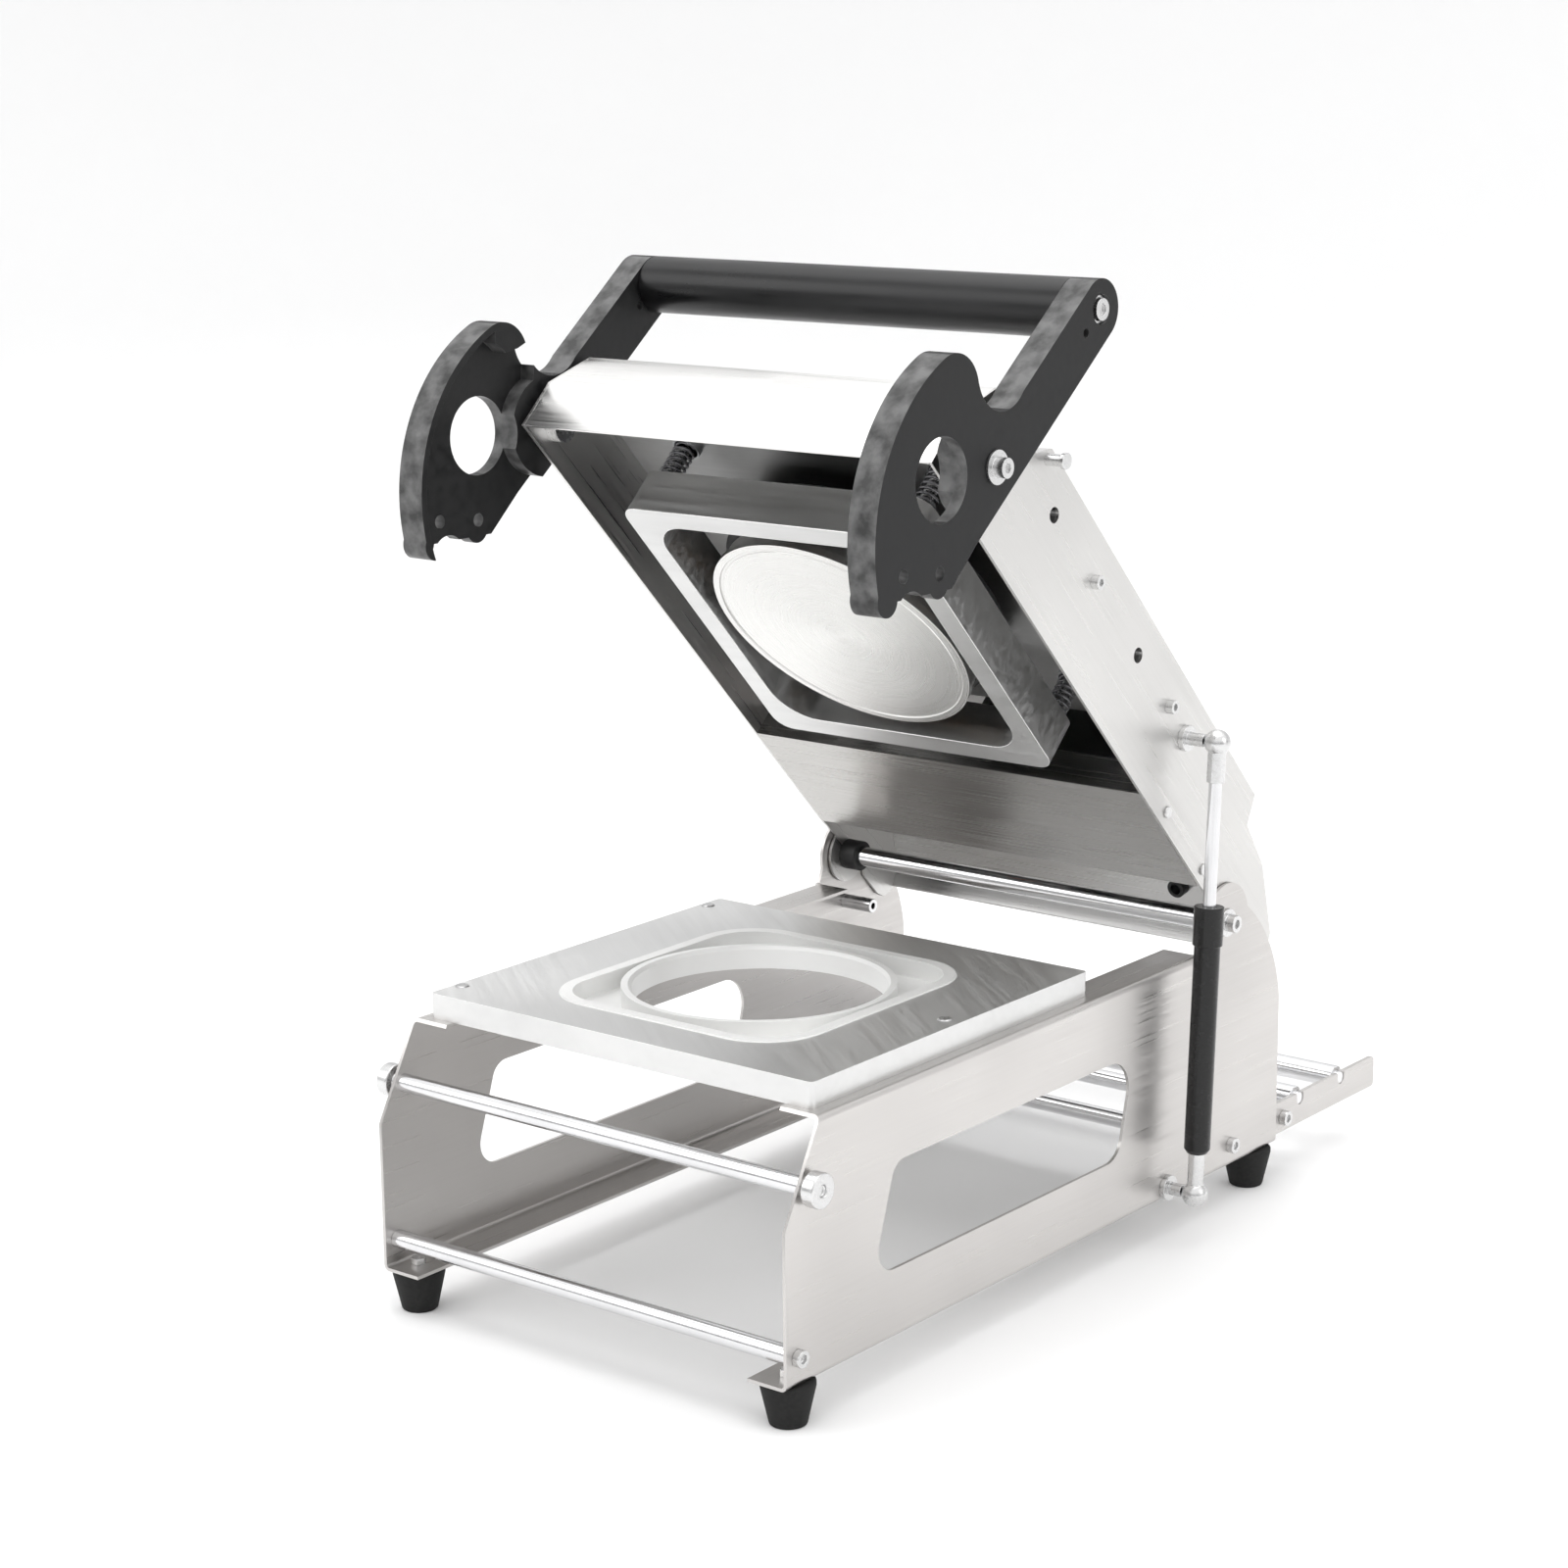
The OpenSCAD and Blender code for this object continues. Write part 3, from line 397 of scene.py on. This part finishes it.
# ---------------------------------------------------------------- controls
# On the head's back: a thermostat dial with its plate, a rocker switch, a lamp and the cable gland.

for part in ("thermostat_body", "switch_housing", "cable_gland", "thermostat_knob", "power_rocker"):
    eased(part, 0.0004, (dark_plastic,))
dial_metal = brushed("dial_metal", (0.72, 0.72, 0.72), 0.3, (500, 500, 500))
eased("dial_plate", 0.0002, (dial_metal,))
pale_moulding, _ = new_finish("pale_moulding", 0.0, 0.45)
grain = noise_on(pale_moulding, (500, 500, 500), 1.0)
two_tones(pale_moulding, grain, (0.66, 0.65, 0.60), (0.74, 0.73, 0.69))
bump_from(pale_moulding, grain, 0.05, 0.0001)
eased("terminal_block", 0.0004, (pale_moulding,))
lens_red, _ = new_finish("lens_red", 0.0, 0.12)
grain = noise_on(lens_red, (300, 300, 300), 1.0)
two_tones(lens_red, grain, (0.60, 0.10, 0.03), (0.78, 0.20, 0.06))
eased("indicator_lamp", 0.0006, (lens_red,), segments=3)

# ---------------------------------------------------------------- press
# The satin clamp frame hangs on four coil springs round the heated platen, a turned aluminium disc
# on a black insulator.

frame_metal = brushed("clamp_metal", (0.68, 0.68, 0.675), 0.38, (14, 240, 240), head_turned)
eased("clamp_frame", 0.0010, (frame_metal, bright_edge), rim=True)
eased("clamp_guides", 0.0004, (screw_steel,))
eased("platen_spindle", 0.0004, (screw_steel,))
eased("temperature_probe", 0.0003, (screw_steel,))
eased("insulator", 0.0006, (dark_plastic,))
foil, _ = new_finish("heater_foil", 0.2, 0.35)
grain = noise_on(foil, (120, 120, 120), 1.0)
two_tones(foil, grain, (0.42, 0.20, 0.06), (0.55, 0.30, 0.10))
eased("heater_element", 0.0003, (foil,))

press_centre = sum((Vector(c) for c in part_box("platen")), Vector()) / 2
turned_disc, skin = new_finish("turned_disc", 1.0, 0.3)
skin.inputs["Anisotropic"].default_value = 0.75
nodes, links = turned_disc.node_tree.nodes, turned_disc.node_tree.links
place = nodes.new("ShaderNodeTexCoord")
outwards = nodes.new("ShaderNodeVectorMath")
outwards.operation = "SUBTRACT"
outwards.inputs[1].default_value = press_centre
around = nodes.new("ShaderNodeVectorMath")
around.operation = "CROSS_PRODUCT"
around.inputs[1].default_value = head_up
reach = nodes.new("ShaderNodeVectorMath")
reach.operation = "LENGTH"
rings = nodes.new("ShaderNodeTexNoise")
rings.noise_dimensions = "1D"
rings.inputs["Scale"].default_value = 1600.0
links.new(place.outputs["Object"], outwards.inputs[0])
links.new(outwards.outputs["Vector"], around.inputs[0])
links.new(around.outputs["Vector"], reach.inputs[0])
links.new(reach.outputs["Value"], rings.inputs["W"])
links.new(around.outputs["Vector"], skin.inputs["Tangent"])
two_tones(turned_disc, rings.outputs["Fac"], (0.76, 0.755, 0.74), (0.80, 0.795, 0.78))
rough_from(turned_disc, rings.outputs["Fac"], 0.26, 0.34)
bump_from(turned_disc, rings.outputs["Fac"], 0.04, 0.0001)
eased("platen", 0.0006, (turned_disc,))

# ---------------------------------------------------------------- coil springs
# Round wire coils on the guide posts and one round the platen spindle. Each is a wire section that
# is screwed up into a coil, closed at its ends.

spring_steel = polished("spring_steel", (0.22, 0.22, 0.23), 0.28, (300, 300, 300))


def coil(name, radius, wire, height, turns):
    """One coil spring that stands on the origin."""
    bpy.ops.object.select_all(action="DESELECT")
    bpy.ops.mesh.primitive_circle_add(vertices=10, radius=wire / 2, fill_type="NGON",
                                      location=(radius, 0, wire / 2), rotation=(math.pi / 2, 0, 0))
    piece = bpy.context.object
    piece.name = name
    bpy.ops.object.transform_apply(location=True, rotation=True, scale=True)
    wind = piece.modifiers.new("wind", "SCREW")
    wind.axis = "Z"
    wind.screw_offset = (height - wire) / turns
    wind.iterations = turns
    wind.steps = 20
    wind.render_steps = 20
    bpy.ops.object.modifier_apply(modifier="wind")
    bpy.ops.object.mode_set(mode="EDIT")
    bpy.ops.mesh.select_all(action="SELECT")
    bpy.ops.mesh.remove_doubles(threshold=weld_gap)
    bpy.ops.mesh.normals_make_consistent(inside=False)
    bpy.ops.object.mode_set(mode="OBJECT")
    bpy.ops.object.shade_smooth_by_angle(angle=math.radians(50))
    piece.data.materials.append(spring_steel)
    return piece


def on_head(piece, x, u, v):
    """Stands the piece in the head, u forwards from the hinge shaft and v out of the hood's top."""
    forwards = Vector((0, -math.cos(head_tilt), math.sin(head_tilt)))
    spot = Vector((x, hinge.y, hinge.z)) + forwards * u + head_up * v
    bpy.ops.object.select_all(action="DESELECT")
    piece.select_set(True)
    bpy.context.view_layer.objects.active = piece
    piece.location = spot
    piece.rotation_euler = (-head_tilt, 0, 0)
    bpy.ops.object.transform_apply(location=True, rotation=True, scale=True)


press_u = 0.276
post_x = 0.093
post_u = 0.0965
spring_foot = 0.018
spring_height = 0.0282
spring_radius = 0.0062
spring_wire = 0.0019
spring_turns = 7
main_foot = 0.020
main_height = 0.0267
main_radius = 0.0135
main_wire = 0.0028
main_turns = 5
posts = [(x, press_u + along) for x in (-post_x, post_x) for along in (-post_u, post_u)]
for number, (x, u) in enumerate(posts):
    spring = coil(f"clamp_spring_{number}", spring_radius, spring_wire, spring_height, spring_turns)
    on_head(spring, x, u, spring_foot)
    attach(spring, "clamp")
    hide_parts("clamp_springs")
main_spring = coil("platen_spring_coil", main_radius, main_wire, main_height, main_turns)
on_head(main_spring, 0, press_u, main_foot)
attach(main_spring, "press")
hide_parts("platen_spring")

# ---------------------------------------------------------------- dial marks
# Eleven black strokes printed on the dial plate round the knob, and a white stroke in the knob's
# groove.

print_black, _ = new_finish("print_black", 0.0, 0.5)
fleck = noise_on(print_black, (800, 800, 800), 1.0)
two_tones(print_black, fleck, (0.01, 0.01, 0.01), (0.03, 0.03, 0.03))
print_white, _ = new_finish("print_white", 0.0, 0.5)
fleck = noise_on(print_white, (800, 800, 800), 1.0)
two_tones(print_white, fleck, (0.72, 0.72, 0.70), (0.82, 0.82, 0.80))


def strokes(name, angles, ring, long, wide, finish):
    """Thin flat strokes that point at the origin, ring away from it."""
    bpy.ops.object.select_all(action="DESELECT")
    parts = []
    for angle in angles:
        spot = (ring * math.sin(angle), ring * math.cos(angle), 0.0001)
        bpy.ops.mesh.primitive_cube_add(size=1, location=spot, rotation=(0, 0, -angle))
        bpy.context.object.scale = (wide, long, 0.0002)
        parts.append(bpy.context.object)
    for part in parts:
        part.select_set(True)
    bpy.context.view_layer.objects.active = parts[0]
    bpy.ops.object.transform_apply(location=True, rotation=True, scale=True)
    if len(parts) > 1:
        bpy.ops.object.join()
    parts[0].name = name
    parts[0].data.materials.append(finish)
    return parts[0]


dial_x = 0.070
dial_u = 0.088
dial_top = 0.0775
knob_top = 0.0938
mark_ring, mark_long, mark_wide = 0.0222, 0.0034, 0.0008
pointer_ring, pointer_long, pointer_wide = 0.0090, 0.0072, 0.0014
mark_angles = [math.radians(30 * step - 150) for step in range(11)]
marks = strokes("dial_marks", mark_angles, mark_ring, mark_long, mark_wide, print_black)
on_head(marks, dial_x, dial_u, dial_top)
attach(marks, "head")
pointer = strokes("knob_pointer", [0], pointer_ring, pointer_long, pointer_wide, print_white)
on_head(pointer, dial_x, dial_u, knob_top)
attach(pointer, "knob")

# ---------------------------------------------------------------- cam levers and handle
# Two thick black plastic levers, sawn and milled, with grey rubbed edges, and a black handle tube
# between them, with streaky wear along its length. The rubbed grey is partly scuffs and partly
# painted
# highlight: it goes on the eased edges and on the narrow faces that face the front, where light
# falls.

lever_black, skin = new_finish("lever_black", 0.0, 0.5)
mill = noise_on(lever_black, (160, 160, 160), 1.0, detail=8.0)
two_tones(lever_black, mill, (0.008, 0.008, 0.0085), (0.016, 0.016, 0.0165))
skin.inputs["Specular IOR Level"].default_value = 0.28
rough_from(lever_black, mill, 0.42, 0.62)
bump_from(lever_black, mill, 0.18, 0.0004)
# The levers' rubbed finish: scuffs mixed with painted highlight, a lighter grey than the black
# levers.
lever_rub_and_highlight, _ = new_finish("lever_rub_and_highlight", 0.0, 0.42)
scuff_and_sheen = noise_on(lever_rub_and_highlight, (90, 90, 90), 1.0, detail=8.0)
two_tones(lever_rub_and_highlight, scuff_and_sheen, (0.018, 0.018, 0.018), (0.13, 0.13, 0.13))
bump_from(lever_rub_and_highlight, scuff_and_sheen, 0.2, 0.0003)
side_on = 0.3
forward = -0.2
# The narrow faces turned to the front get the lighter finish: painted highlight where the light
# falls on them.
for side in ("left", "right"):
    lever = eased(f"cam_lever_{side}", 0.0011, (lever_black, lever_rub_and_highlight), rim=True)
    for face in lever.data.polygons:
        if abs(face.normal.x) < side_on and face.normal.y < forward:
            face.material_index = 1
handle_black, skin = new_finish("handle_black", 0.0, 0.34)
wear = noise_on(handle_black, (14, 60, 60), 1.0, detail=6.0)
two_tones(handle_black, wear, (0.006, 0.006, 0.0065), (0.016, 0.016, 0.017))
skin.inputs["Specular IOR Level"].default_value = 0.35
rough_from(handle_black, wear, 0.26, 0.44)
bump_from(handle_black, wear, 0.08, 0.0003)
eased("handle_bar", 0.0008, (handle_black,))

# ---------------------------------------------------------------- gas spring
# A black enamelled tube with a thicker rod guide at its upper end, a bright rod, and a ball socket
# at each end.

tube_enamel, skin = new_finish("tube_enamel", 0.0, 0.24)
skin.inputs["Specular IOR Level"].default_value = 0.4
peel = noise_on(tube_enamel, (250, 250, 250), 1.0)
two_tones(tube_enamel, peel, (0.004, 0.004, 0.004), (0.009, 0.009, 0.009))
rough_from(tube_enamel, peel, 0.18, 0.3)
bump_from(tube_enamel, peel, 0.05, 0.0001)
eased("gas_tube", 0.0008, (tube_enamel,), segments=3)
eased("gas_rod", 0.0003, (rod_steel,))
for socket in ("gas_lower_socket", "gas_upper_socket"):
    eased(socket, 0.0004, (screw_steel,))
